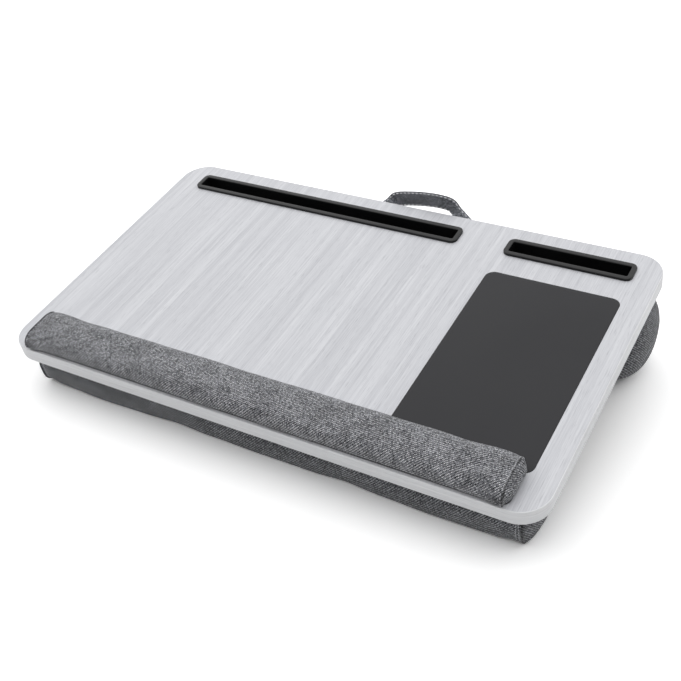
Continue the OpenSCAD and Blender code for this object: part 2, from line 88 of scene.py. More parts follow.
def gridObject(name, grid, uv, closeRows=False, ends=None):
    # grid[i, j] is closed in j; a row at each open end is closed by a fan to its own middle.
    # uv[i, j] has one more column than the grid, so that the pattern doesn't fold at the join.
    rows, around = grid.shape[:2]
    points = grid.reshape(-1, 3)
    quads = ringQuads(rows, around, closeRows)
    quadUv = np.stack([uv[:-1, :-1], uv[:-1, 1:], uv[1:, 1:], uv[1:, :-1]], 2).reshape(-1, 4, 2)
    fans, fanUv = np.zeros((0, 3), int), np.zeros((0, 3, 2))
    if not closeRows:
        poles = np.array([grid[0].mean(0), grid[-1].mean(0)]) if ends is None else ends
        points = np.vstack([points, poles])
        j = np.arange(around)
        last = (rows - 1) * around
        pole = np.full(around, rows * around)
        fans = np.vstack([np.stack([(j + 1) % around, j, pole], -1),
                          np.stack([last + j, last + (j + 1) % around, pole + 1], -1)])
        middle = uv[[0, -1]].mean(1)
        fanUv = np.vstack([
            np.stack([uv[0, 1:], uv[0, :-1], np.broadcast_to(middle[0], (around, 2))], 1),
            np.stack([uv[-1, :-1], uv[-1, 1:], np.broadcast_to(middle[1], (around, 2))], 1)])
    corners = points[np.vstack([quads[:, [0, 1, 2]], quads[:, [0, 2, 3]], fans])]
    volume = np.einsum("ij,ij->i", corners[:, 0], np.cross(corners[:, 1], corners[:, 2])).sum()
    if volume < 0:  # faces point inwards, so each is turned round
        quads, quadUv = quads[:, ::-1], quadUv[:, ::-1]
        fans, fanUv = fans[:, ::-1], fanUv[:, ::-1]
    loops = np.concatenate([quads.ravel(), fans.ravel()]).astype(np.int32)
    sizes = np.concatenate([np.full(len(quads), 4), np.full(len(fans), 3)])
    mesh = bpy.data.meshes.new(name)
    mesh.vertices.add(len(points))
    mesh.vertices.foreach_set("co", points.astype(np.float32).ravel())
    mesh.loops.add(len(loops))
    mesh.loops.foreach_set("vertex_index", loops)
    mesh.polygons.add(len(sizes))
    starts = np.concatenate([[0], np.cumsum(sizes)[:-1]]).astype(np.int32)
    mesh.polygons.foreach_set("loop_start", starts)
    mesh.polygons.foreach_set("use_smooth", np.ones(len(sizes), bool))
    mesh.update(calc_edges=True)
    layer = mesh.uv_layers.new(name="weave")
    flat = np.concatenate([quadUv.reshape(-1, 2), fanUv.reshape(-1, 2)])
    layer.data.foreach_set("uv", flat.astype(np.float32).ravel())
    return linked(name, mesh)


def lengths(points, closed=False):
    # running length along a line of points, starting at nought
    ring = np.vstack([points, points[:1]]) if closed else points
    return np.concatenate([[0], np.cumsum(np.linalg.norm(np.diff(ring, axis=0), axis=1))])


def weavePlaces(down, across):
    # every pair of a place along the rows and one across them, in metres of cloth
    return np.stack(np.broadcast_arrays(down[:, None], across[None, :]), -1) / 1000


def roundedOutline(width, depth, radius, arcSteps=14, spacing=12.0):
    # corner centre + radius (cos a, sin a) over each quarter turn, even steps between corners
    points, normals = [], []
    quarter = np.radians(np.linspace(0, 90, arcSteps + 1))
    centres = np.array([(1, 1), (-1, 1), (-1, -1), (1, -1)]) * (np.array([width, depth]) / 2
                                                               - radius)
    for turn in range(4):
        angle = quarter + math.pi / 2 * turn
        normal = np.stack([np.cos(angle), np.sin(angle)], -1)
        arc = centres[turn] + radius * normal
        start = centres[(turn + 1) % 4] + radius * normal[-1]
        steps = max(2, int(np.linalg.norm(start - arc[-1]) / spacing))
        share = np.linspace(0, 1, steps + 1)[1:-1, None]
        points += [arc, arc[-1] * (1 - share) + start * share]
        normals += [normal, np.repeat(normal[-1:], steps - 1, 0)]
    return np.vstack(points), np.vstack(normals)


def sweep(name, outline, profile, centre, closeRows=False, scaleUp=None):
    # every profile point (out, up) goes round the outline: point + out * normal, height up
    points, normals = outline
    out, up = profile[:, 0][:, None], profile[:, 1][:, None]
    grid = np.empty((len(profile), len(points), 3))
    grid[..., :2] = points[None] + out[..., None] * normals[None] + np.array(centre)
    grid[..., 2] = up if scaleUp is None else scaleUp(grid, up)
    uv = weavePlaces(lengths(profile, closed=closeRows), lengths(points, closed=True))
    return gridObject(name, toRow(grid), uv[..., ::-1], closeRows)


def roundedCorner(cx, cy, radius, first, last, steps=6):
    # quarter of a circle in the profile's plane, from the first to the last angle in degrees
    angle = np.radians(np.linspace(first, last, steps + 1))
    return np.stack([cx + radius * np.cos(angle), cy + radius * np.sin(angle)], -1)


def withoutRepeats(profile):
    # neighbours less than a millionth of a millimetre apart count as one point
    apart = np.linalg.norm(np.diff(profile, axis=0), axis=1) > 1e-6
    return profile[np.insert(apart, 0, True)]


def dress(piece, material, replaces, body="desk"):
    piece.data.materials.append(material)
    if body:
        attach(piece, body)
    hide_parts(*replaces)
    return piece


def srgb(r, g, b):
    # screen colour 0-255 to linear light
    c = np.array([r, g, b]) / 255
    linear = np.where(c <= 0.04045, c / 12.92, ((c + 0.055) / 1.055) ** 2.4)
    return (*[float(v) for v in linear], 1.0)


def addNode(tree, kind, inputs=None, **settings):
    # each input is linked to a socket or set to a value
    node = tree.nodes.new(kind)
    for key, value in settings.items():
        setattr(node, key, value)
    for key, value in (inputs or {}).items():
        if isinstance(value, bpy.types.NodeSocket):
            tree.links.new(value, node.inputs[key])
        else:
            node.inputs[key].default_value = value
    return node


def calc(tree, operation, *values):
    return addNode(tree, "ShaderNodeMath", dict(enumerate(values)),
                   operation=operation).outputs[0]


def product(tree, first, *others):
    for value in others:
        first = calc(tree, "MULTIPLY", first, value)
    return first


def weighted(tree, first, firstShare, second, secondShare):
    return calc(tree, "ADD", product(tree, first, firstShare),
                product(tree, second, secondShare))


def combined(tree, *parts):
    return addNode(tree, "ShaderNodeCombineXYZ", dict(enumerate(parts))).outputs[0]


def scaled(tree, vector, size):
    return addNode(tree, "ShaderNodeVectorMath", {0: vector, 3: size},
                   operation="SCALE").outputs[0]


def pulled(tree, vector, way):
    return addNode(tree, "ShaderNodeVectorMath", {0: vector, 1: way},
                   operation="MULTIPLY").outputs[0]


def noise(tree, vector, scale, detail, **more):
    return addNode(tree, "ShaderNodeTexNoise", {"Vector": vector, "Scale": scale,
                                                "Detail": detail, **more}).outputs[0]


def pebbles(tree, vector, scale):
    return addNode(tree, "ShaderNodeTexVoronoi", {"Vector": vector, "Scale": scale},
                   feature="SMOOTH_F1").outputs["Distance"]


def attribute(tree, name):
    return addNode(tree, "ShaderNodeAttribute", attribute_name=name).outputs["Fac"]


def mixColours(tree, share, low, high):
    return addNode(tree, "ShaderNodeMix", {0: share, 6: low, 7: high},
                   data_type="RGBA").outputs[2]


def ramp(tree, value, stops):
    node = addNode(tree, "ShaderNodeValToRGB", {0: value})
    elements = node.color_ramp.elements
    while len(elements) < len(stops):
        elements.new(0.5)
    for element, (place, colour) in zip(elements, stops):
        element.position = place
        element.color = colour if len(colour) == 4 else (*colour, 1.0)
    return node.outputs[0]


def mapRange(tree, value, low, high, toLow, toHigh):
    return addNode(tree, "ShaderNodeMapRange",
                   {0: value, 1: low, 2: high, 3: toLow, 4: toHigh}).outputs[0]


def startGroup(name, **inputs):
    # a vector input, then float inputs with the values they start from
    group = bpy.data.node_groups.new(name, "ShaderNodeTree")
    group.interface.new_socket(name="Vector", in_out="INPUT", socket_type="NodeSocketVector")
    for label, value in inputs.items():
        group.interface.new_socket(name=label, in_out="INPUT",
                                   socket_type="NodeSocketFloat").default_value = value
    return group, group.nodes.new("NodeGroupInput").outputs


def endGroup(group, **outputs):
    for label in outputs:
        group.interface.new_socket(name=label, in_out="OUTPUT", socket_type="NodeSocketFloat")
    result = group.nodes.new("NodeGroupOutput")
    for label, socket in outputs.items():
        group.links.new(socket, result.inputs[label])
    return group


def useGroup(tree, group, vector, **inputs):
    return addNode(tree, "ShaderNodeGroup", {"Vector": vector, **inputs},
                   node_tree=group).outputs


def newMaterial(name, rough=0.5, specular=0.5, **values):
    material = bpy.data.materials.new(name)
    material.use_nodes = True
    tree = material.node_tree
    shader = tree.nodes["Principled BSDF"]
    for key, value in {"Roughness": rough, "Specular IOR Level": specular, **values}.items():
        shader.inputs[key].default_value = value
    return material, tree, shader


def paint(tree, shader, colour):
    tree.links.new(colour, shader.inputs["Base Color"])


def wear(tree, shader, vector, size, low, high):
    # roughness from low to high over soft clouds; returns the clouds for a tint
    cloud = useGroup(tree, wearGroup, vector, Size=size, Low=low, High=high)
    tree.links.new(cloud["Roughness"], shader.inputs["Roughness"])
    return cloud["Cloud"]


def bump(tree, shader, height, strength, distance):
    node = addNode(tree, "ShaderNodeBump", {"Height": height, "Strength": strength,
                                            "Distance": distance})
    tree.links.new(node.outputs[0], shader.inputs["Normal"])


def twillWeave():
    # cell (i, j) of the thread grid shows the warp unless (i + j) mod 3 is 2. A thread is round
    # across its width, height = sin(pi * place in the cell), and has its own shade
    group, given = startGroup("twillWeave", Threads=1150.0, Slub=0.12)
    inThreads = scaled(group, given["Vector"], given["Threads"])
    u, v = list(addNode(group, "ShaderNodeSeparateXYZ", {0: inThreads}).outputs)[:2]
    cellU, cellV = calc(group, "FLOOR", u), calc(group, "FLOOR", v)
    repeat = 3.0
    diagonal = calc(group, "ADD", cellU, cellV)
    warp = calc(group, "LESS_THAN", calc(group, "FLOORED_MODULO", diagonal, repeat),
                repeat / 2)
    weft = calc(group, "SUBTRACT", 1.0, warp)

    def arch(place):
        return calc(group, "SINE", product(group, calc(group, "FRACT", place), math.pi))

    weftHeight = 0.7
    height = weighted(group, arch(u), warp, product(group, arch(v), weftHeight), weft)
    # the shade drifts along each thread; the weft's noise is taken from a layer of its own
    weftLayer = 7.0
    along = combined(group, cellU, product(group, v, given["Slub"]))
    across = combined(group, product(group, u, given["Slub"]), cellV, weftLayer)
    shade = weighted(group, noise(group, along, 1.0, 2.0), warp,
                     noise(group, across, 1.0, 2.0), weft)
    # one float of thread is the same column, the same third diagonal and the same system
    oneFloat = combined(group, cellU, calc(group, "FLOOR", calc(group, "DIVIDE", diagonal,
                                                                repeat)), warp)
    fleck = addNode(group, "ShaderNodeTexWhiteNoise", {"Vector": oneFloat}).outputs[0]
    # uneven yarn makes speckles a thread or two wide, and dye makes soft clouds
    return endGroup(group, Warp=warp, Height=height, Shade=shade, Fleck=fleck,
                    Speckle=noise(group, inThreads, 0.7, 1.0),
                    Mottle=noise(group, inThreads, 0.05, 2.0))


def straightGrain():
    # noise pulled out along y: fine lines, broader streaks and short pores are the same noise
    # at three widths, the lines and streaks some eighty times longer than they are wide
    group, given = startGroup("straightGrain", Line=900.0, Stretch=0.012)
    long = pulled(group, given["Vector"], combined(group, 1.0, given["Stretch"], 0.05))
    sized = scaled(group, long, given["Line"])
    flecks = noise(group, pulled(group, sized, (1.6, 7.0, 1.0)), 1.0, 1.0)
    return endGroup(group, Lines=noise(group, sized, 1.0, 4.0, Roughness=0.7),
                    Streaks=noise(group, sized, 0.16, 3.0),
                    Pores=mapRange(group, flecks, 0.6, 0.75, 0.0, 1.0))


def softWear():
    # cloudy noise that lifts roughness a little where hands and dust have been
    group, given = startGroup("softWear", Size=18.0, Low=0.4, High=0.6)
    cloud = noise(group, given["Vector"], given["Size"], 5.0)
    rough = mapRange(group, cloud, 0.3, 0.7, given["Low"], given["High"])
    return endGroup(group, Roughness=rough, Cloud=cloud)


weaveGroup, grainGroup, wearGroup = twillWeave(), straightGrain(), softWear()


def objectPlace(tree, tilt=True):
    # Object coordinates, turned back by the slope so that y runs along the board
    place = addNode(tree, "ShaderNodeTexCoord").outputs["Object"]
    if not tilt:
        return place
    return addNode(tree, "ShaderNodeMapping",
                   {"Vector": place, "Rotation": (-stance["slope"], 0.0, 0.0)}).outputs[0]


def wovenPlace(tree):
    return addNode(tree, "ShaderNodeUVMap", uv_map="weave").outputs[0]


def grainMaterial(name, place, light, dark, pore, line=900.0):
    material, tree, shader = newMaterial(name, specular=0.35)
    vector = place(tree)
    grain = useGroup(tree, grainGroup, vector, Line=line)
    both = weighted(tree, grain["Lines"], 0.62, grain["Streaks"], 0.38)
    light, dark, pore = srgb(*light), srgb(*dark), srgb(*pore)
    base = ramp(tree, both, [(0.36, dark), (0.5, tuple((np.array(dark) + light) / 2)),
                             (0.64, light)])
    paint(tree, shader, mixColours(tree, product(tree, grain["Pores"], 0.5), base, pore))
    wear(tree, shader, vector, 14.0, 0.37, 0.49)
    bump(tree, shader, both, 0.25, 0.0002)
    return material


def edgePlace(tree):
    # the band's grain runs along its length
    return addNode(tree, "ShaderNodeMapping", {
        "Vector": wovenPlace(tree), "Rotation": (0.0, 0.0, math.pi / 2)}).outputs[0]


def twillMaterial(name, warpDark, warpLight, weftDark, weftLight, threads, paintedLight=0.0):
    material, tree, shader = newMaterial(name, 0.92, 0.2, **{"Sheen Weight": 0.25,
                                                             "Sheen Roughness": 0.5})
    weave = useGroup(tree, weaveGroup, wovenPlace(tree), Threads=threads)
    shade = weighted(tree, weave["Shade"], 0.5, weave["Fleck"], 0.5)
    warpTone, weftTone = [ramp(tree, shade, [(0.25, srgb(*dark)), (0.75, srgb(*light))])
                          for dark, light in ((warpDark, warpLight), (weftDark, weftLight))]
    # painted shade between the threads, at the bottom of folds and low on a cushion's cover; the
    # dye's clouds and the yarn's speckles vary the tone
    light = product(tree, mapRange(tree, weave["Height"], 0.0, 0.8, 0.35, 1.0),
                    mapRange(tree, weave["Mottle"], 0.35, 0.65, 0.84, 1.16),
                    mapRange(tree, weave["Speckle"], 0.3, 0.7, 0.72, 1.28),
                    mapRange(tree, attribute(tree, "paintedShade"), 0.0, 1.0, 1.0, 0.3))
    # painted light: where a piece marks it, the cloth is painted paler by this share
    if paintedLight:
        light = product(tree, light, mapRange(tree, attribute(tree, "paintedLight"), 0.0, 1.0, 1.0,
                                              1.0 + paintedLight))
    paint(tree, shader, scaled(tree, mixColours(tree, weave["Warp"], weftTone, warpTone), light))
    bump(tree, shader, weave["Height"], 0.8, 0.0003)
    return material


woodFace = grainMaterial("woodFace", objectPlace, (215, 216, 220), (189, 190, 195),
                         (164, 165, 170))
woodBack = grainMaterial("woodBack", objectPlace, (206, 207, 210), (190, 191, 194),
                         (176, 177, 180))
# painted light: the edge band is painted paler than the top, to make up for its upright faces
# getting less of the overhead lamp
woodEdge = grainMaterial("woodEdge", edgePlace, (236, 237, 239), (212, 213, 215),
                         (192, 193, 195), line=1400.0)
heatherTwill = twillMaterial("heatherTwill", (34, 35, 40), (134, 136, 142), (112, 113, 118),
                             (250, 251, 254), 1100.0)
# painted shade: the bolsters' cloth is the wrist rest's heather painted darker, for the shade they
# lie in under the board
shadedHeather = twillMaterial("shadedHeather", (24, 25, 29), (110, 112, 117), (88, 89, 94),
                            (218, 220, 224), 1100.0)
strapDenim = twillMaterial("strapDenim", (52, 54, 60), (132, 134, 141), (84, 86, 92),
                           (222, 224, 230), 1300.0, paintedLight=0.9)
liningCloth = twillMaterial("liningCloth", (34, 35, 38), (52, 53, 57), (40, 41, 44),
                            (62, 63, 67), 2200.0)


def plasticMaterial(name, colour, rough, texture=2600.0, specular=0.5):
    material, tree, shader = newMaterial(name, specular=specular)
    place = objectPlace(tree, tilt=False)
    cloud = wear(tree, shader, place, 40.0, rough - 0.04, rough + 0.08)
    colour = np.array(srgb(*colour))
    paint(tree, shader, mixColours(tree, cloud, tuple(colour * 0.9), tuple(colour * 1.1)))
    bump(tree, shader, noise(tree, place, texture, 2.0), 0.15, 0.0001)
    return material


slotPlastic = plasticMaterial("slotPlastic", (15, 15, 16), 0.36, specular=0.22)
basePlastic = plasticMaterial("basePlastic", (38, 38, 40), 0.5)
padFoam = plasticMaterial("padFoam", (30, 30, 32), 0.85, texture=1500.0)


def leatheretteMaterial():
    # smooth sheet with a shallow pebble: cells of about half a millimetre
    material, tree, shader = newMaterial("padLeatherette", specular=0.15)
    place = objectPlace(tree)
    cloud = wear(tree, shader, place, 9.0, 0.55, 0.66)
    paint(tree, shader, mixColours(tree, cloud, srgb(46, 46, 48), srgb(52, 52, 54)))
    bump(tree, shader, pebbles(tree, place, 1900.0), 0.2, 0.0001)
    return material


def speckled(name, rough, pattern, stops, strength, distance, tilt=False, specular=0.5):
    # one pattern gives the tint, between two colours, and the relief
    material, tree, shader = newMaterial(name, rough, specular)
    height = pattern(tree, objectPlace(tree, tilt))
    paint(tree, shader, ramp(tree, height, stops))
    bump(tree, shader, height, strength, distance)
    return material


def threadMaterial(name, colour):
    # twisted thread: fine bright and dull spots along the stitch
    colour = srgb(*colour)
    return speckled(name, 0.8, lambda tree, place: noise(tree, place, 900.0, 2.0),
                    [(0.3, tuple(np.array(colour) * 0.7)[:3]), (0.7, colour)],
                    0.4, 0.0001, specular=0.25)


def steelMaterial():
    # zinc plate: spangled tint and roughness on plain metal
    material, tree, shader = newMaterial("zincSteel", Metallic=1.0)
    cloud = wear(tree, shader, objectPlace(tree, tilt=False), 260.0, 0.28, 0.42)
    paint(tree, shader, ramp(tree, cloud, [(0.3, srgb(176, 178, 182)),
                                           (0.7, srgb(206, 208, 212))]))
    return material


padLeatherette, zincSteel = leatheretteMaterial(), steelMaterial()
paleThread = threadMaterial("paleThread", (250, 250, 253))
greyThread = threadMaterial("greyThread", (200, 201, 206))
# pressed wood fibre: tan ground with short darker and lighter fibres
fibreboard = speckled("fibreboard", 0.85, lambda tree, place: noise(tree, place, 700.0, 6.0),
                      [(0.35, srgb(140, 117, 88)), (0.65, srgb(186, 163, 130))], 0.3, 0.0002,
                      tilt=True)
# open-cell foam: pale ground with small dark pits
whiteFoam = speckled("whiteFoam", 0.95, lambda tree, place: pebbles(tree, place, 900.0),
                     [(0.0, srgb(176, 172, 160)), (0.5, srgb(236, 232, 222))], 0.4, 0.0004)
print("finishes made")

for nodeName, material in {
        "board_core": fibreboard, "top_laminate": woodFace, "bottom_laminate": woodBack,
        "mouse_pad_base": padFoam, "wrist_rest_base": basePlastic,
        "wrist_rest_foam": whiteFoam, "cushion_panel": fibreboard,
        "panel_screws": zincSteel, "strap_plates": zincSteel,
        "strap_screws": zincSteel}.items():
    data = cadNodes[nodeName].data
    data.materials.clear()
    data.materials.append(material)

# the band's outer edges are rounded
edging = {"round": 0.8, "flat": 0.05}
r, inner = edging["round"], -board["band"]
bandProfile = np.vstack([
    [[inner, 0.0], [-r - edging["flat"], 0.0]],
    roundedCorner(-r, -r, r, 90, 0), roundedCorner(-r, underside + r, r, 0, -90),
    [[-r - edging["flat"], underside], [inner, underside]]])
edgeBand = sweep("edgeBand", roundedOutline(board["width"], board["depth"], board["corner"], 20),
                 withoutRepeats(bandProfile), (0, board["depth"] / 2), closeRows=True)
dress(edgeBand, woodEdge, replaces=["edge_band"])

slot = {"width": 25.0, "side": 5.0, "high": 2.6, "corner": 6.5, "wall": 1.5, "rear": 19.0,
        "edge": 0.5, "lead": 0.8, "tablet": 327.0, "tabletLeft": 29.0, "phone": 129.0,
        "phoneRight": 24.5, "floor": 0.6, "fillet": 0.8, "lap": 0.6, "stand": 0.02}


def slotTray(name, length, x, node):
    # from the pocket's floor up its wall, over the rim, and down outside to the tray's bottom
    bottom = underside + slot["floor"]
    side, high, e, lead = slot["side"], slot["high"], slot["edge"], slot["lead"]
    fillet, wall = slot["fillet"], slot["wall"]
    inward = -side - fillet - slot["lap"]
    profile = np.vstack([
        [[inward, bottom + wall]],
        roundedCorner(-side - fillet, bottom + wall + fillet, fillet, -90, 0, 4),
        [[-side, -lead]],
        roundedCorner(-side + lead, high - lead, lead, 180, 90, 6),
        roundedCorner(-e, high - e, e, 90, 0, 5),
        [[0.0, slot["stand"]], [-side + wall, 0.0], [-side + wall, bottom], [inward, bottom]]])
    outline = roundedOutline(length, slot["width"], slot["corner"], 12)
    middle = (x, board["depth"] - slot["rear"] - slot["width"] / 2)
    return dress(sweep(name, outline, profile, middle), slotPlastic,
                 replaces=[node])


halfWidth = board["width"] / 2
slotTray("tabletSlot", slot["tablet"], -halfWidth + slot["tabletLeft"] + slot["tablet"] / 2,
         "tablet_tray")
slotTray("phoneSlot", slot["phone"], halfWidth - slot["phoneRight"] - slot["phone"] / 2,
         "phone_tray")

pad = {"width": 132.0, "depth": 223.0, "corner": 9.0, "right": 23.5, "front": 39.0,
       "thick": 0.8, "edge": 0.35, "ring": 4.0}
e = pad["edge"]
padProfile = np.vstack([[[-pad["ring"], 0.0]], roundedCorner(-e, -e, e, 90, 0, 5),
                        [[0.0, -pad["thick"]], [-pad["ring"], -pad["thick"]]]])
mousePad = sweep("mousePad", roundedOutline(pad["width"], pad["depth"], pad["corner"]),
                 padProfile, (halfWidth - pad["right"] - pad["width"] / 2,
                              pad["front"] + pad["depth"] / 2))
dress(mousePad, padLeatherette, replaces=["mouse_pad_skin"])

# the lining cloth is drawn up round the panel's edge, and cut away where the strap's tails pass
lining = {"over": 0.7, "turn": 1.0, "gap": 0.15, "notch": 11.5, "blend": 1.5, "ring": 8.0,
          "clear": 0.06, "under": 0.02}
strap = {"shift": 19.0, "span": 100.0, "width": 18.0, "thick": 1.8, "hinge": 336.5,
         "tailZ": -15.9, "tailFront": 305.3}
panelFace = underside - panel["thick"] - lining["under"]
over, turn, clothTop = lining["over"], lining["turn"], underside - lining["gap"]
liningProfile = np.vstack([
    [[-lining["ring"], clothZ]], roundedCorner(over - turn, clothZ + turn, turn, -90, 0, 5),
    [[over, clothTop], [lining["clear"], clothTop], [lining["clear"], panelFace],
     [-lining["ring"], panelFace]]])


def notched(grid, up):
    # the turned-up edge drops to the panel's face where |x - tail| is under the notch's half width
    across = grid[..., 0] - strap["shift"]
    away = np.minimum(np.abs(across - strap["span"] / 2), np.abs(across + strap["span"] / 2))
    keep = np.clip((away - lining["notch"]) / lining["blend"], 0, 1)
    keep = np.where(grid[..., 1] < board["depth"] / 2, 1, keep)
    return np.where(up > panelFace, panelFace + (up - panelFace) * keep, up)


liningCover = sweep("panelLining", roundedOutline(
    board["width"] - 2 * panel["side"], board["depth"] - 2 * panel["end"], panel["corner"],
    12, 1.5), liningProfile, (0, board["depth"] / 2), scaleUp=notched)
dress(liningCover, liningCloth, replaces=["panel_cloth"])
print("rigid pieces made")

rng = np.random.default_rng(11)
# what all the padded pieces share: lengths in mm, a power, and two counts
cushions = {"narrowing": 24.0, "coarse": 7.0, "sewnReach": 30.0, "puckerStart": 1.5,
            "foldPower": 1.5, "lowBand": 11.0, "frames": 20, "softenTimes": 6}


def wave(values, count, longest, shortest):
    # smooth uneven line: a sum of sines with fixed random lengths and phases, mostly within
    # -1 and 1
    lengthsOf = np.exp(rng.uniform(math.log(shortest), math.log(longest), count))
    phases = rng.uniform(0, 2 * math.pi, count)
    total = np.sin(values[..., None] * 2 * math.pi / lengthsOf + phases).sum(-1)
    return total / (0.6 * count)


def signedPower(value, power):
    return np.sign(value) * np.abs(value) ** power


def stationsAlong(spec, fine, coarse, growth, endSteps):
    # places along both halves, fine at the seam; each has an x and a scale of the section.
    # past the seam x = seam + reach sin(a)^(2/p) and scale = cos(a)^(2/p)
    seam, tip, taper = spec["seam"], spec["tip"], spec["taper"]
    steps = [0.0]
    while steps[-1] < seam:
        steps.append(steps[-1] + min(coarse, fine + growth * steps[-1]))
    tube = seam - np.array(steps)[::-1] * seam / steps[-1]
    angle = np.radians(90) * np.linspace(0, 1, endSteps + 1)[1:-1] ** 1.15
    ends = seam + (tip - seam) * np.sin(angle) ** (2 / spec["endPower"])
    x = np.concatenate([tube, ends])
    # a short length before the seam narrows by the taper, scale = 1 - taper * share^2
    near = np.clip((tube - seam + cushions["narrowing"]) / cushions["narrowing"], 0, 1)
    scale = np.concatenate([1 - taper * near ** 2,
                            np.cos(angle) ** (2 / spec["endPower"]) * (1 - taper)])
    return np.concatenate([-x[:0:-1], x]), np.concatenate([scale[:0:-1], scale])


def evenAngles(section, count):
    # angles whose points lie at even steps round the section
    angle = np.linspace(0, 2 * math.pi, 1441)
    y, z = section(angle, 1.0, 0.0)
    run = lengths(np.stack([y, z], -1))
    return np.interp(np.linspace(0, run[-1], count, endpoint=False), run, angle), run[-1]


def cushionGrid(x, scale, angles, section):
    y, z = section(angles[None, :], scale[:, None], x[:, None])
    return np.stack(np.broadcast_arrays(x[:, None], y, z), -1)


def gridNormals(grid):
    # cross product of the grid's two directions, pointing out
    along = np.gradient(grid, axis=0)
    around = np.roll(grid, -1, 1) - np.roll(grid, 1, 1)
    normal = np.cross(around, along)
    size = np.linalg.norm(normal, axis=-1, keepdims=True)
    return -normal / np.maximum(size, 1e-9)


def inflate(name, grid, pinned, spec):
    # cloth simulation of a coarse copy, blown up from inside and held where it is sewn or pressed
    start = grid / 1000
    count = start[..., 0].size
    shell = gridObject(name, start, np.zeros((len(grid), grid.shape[1] + 1, 2)))
    group = shell.vertex_groups.new(name="held")
    group.add(np.flatnonzero(pinned.ravel()).tolist() + [count, count + 1], 1.0, "REPLACE")
    cloth = shell.modifiers.new("cloth", "CLOTH")
    for key, value in {
            "vertex_group_mass": "held", "quality": 6, "mass": 0.2,
            "tension_stiffness": spec["stretch"], "compression_stiffness": spec["stretch"],
            "bending_stiffness": 0.3, "use_pressure": True,
            "uniform_pressure_force": spec["pressure"], "shrink_min": -0.02}.items():
        setattr(cloth.settings, key, value)
    cloth.settings.effector_weights.gravity = 0.0
    cloth.point_cache.frame_start, cloth.point_cache.frame_end = 1, cushions["frames"]
    for step in range(1, cushions["frames"] + 1):
        scene.frame_set(step)
    blown = shell.evaluated_get(bpy.context.evaluated_depsgraph_get()).to_mesh()
    moved = np.empty(len(blown.vertices) * 3, np.float32)
    blown.vertices.foreach_get("co", moved)
    shift = moved.reshape(-1, 3)[:count].reshape(start.shape) * 1000 - grid
    bpy.data.objects.remove(shell)
    scene.frame_set(1)
    size = np.linalg.norm(shift, axis=-1, keepdims=True)
    print(name, "swelled by up to", round(float(size.max()), 2), "mm")
    return shift * np.minimum(1, spec["cap"] / np.maximum(size, 1e-9))


def spread(values, fromX, fromAngle, toX, toAngle):
    # the coarse grid's values at the fine grid's places, straight between neighbours
    low = np.clip(np.searchsorted(fromX, toX) - 1, 0, len(fromX) - 2)
    share = np.clip((toX - fromX[low]) / (fromX[low + 1] - fromX[low]), 0, 1)[:, None, None]
    rows = values[low] * (1 - share) + values[low + 1] * share
    angle = np.concatenate([fromAngle, [fromAngle[0] + 2 * math.pi]])
    ring = np.concatenate([rows, rows[:, :1]], 1)
    at = np.mod(toAngle - angle[0], 2 * math.pi) + angle[0]
    left = np.clip(np.searchsorted(angle, at) - 1, 0, len(angle) - 2)
    part = ((at - angle[left]) / (angle[left + 1] - angle[left]))[None, :, None]
    return ring[:, left] * (1 - part) + ring[:, left + 1] * part


def soften(values, times):
    # each value moves half way to the mean of its neighbours; the end rings are only evened
    # round themselves
    for _ in range(times):
        mean = (np.roll(values, 1, 1) + np.roll(values, -1, 1)) / 2
        mean[1:-1] = (mean[1:-1] + (values[:-2] + values[2:]) / 2) / 2
        values = values + (mean - values) * 0.5
        values[0], values[-1] = mean[0], mean[-1]
    return values


def endWeave(piece, seam, middle):
    # end panels are cut flat, so past the seam the weave runs over y and z instead; it is a
    # little larger there, and moved away so that it doesn't repeat the tube's
    grow, away = 1.04, 3.0
    mesh = piece.data
    co, uv = [np.empty(n, np.float32) for n in (len(mesh.vertices) * 3, len(mesh.loops) * 2)]
    index, start = [np.empty(n, np.int32) for n in (len(mesh.loops), len(mesh.polygons))]
    layer = mesh.uv_layers["weave"].data
    mesh.vertices.foreach_get("co", co)
    mesh.loops.foreach_get("vertex_index", index)
    mesh.polygons.foreach_get("loop_start", start)
    layer.foreach_get("uv", uv)
    co, uv = co.reshape(-1, 3), uv.reshape(-1, 2)
    total = np.diff(np.append(start, len(index)))
    face = np.repeat(np.arange(len(start)), total)
    meanX = np.bincount(face, co[index, 0]) / total
    past = (np.abs(meanX) > seam / 1000)[face]
    uv[past] = (co[index][past, 1:] - middle) * grow + away
    layer.foreach_set("uv", uv.ravel())


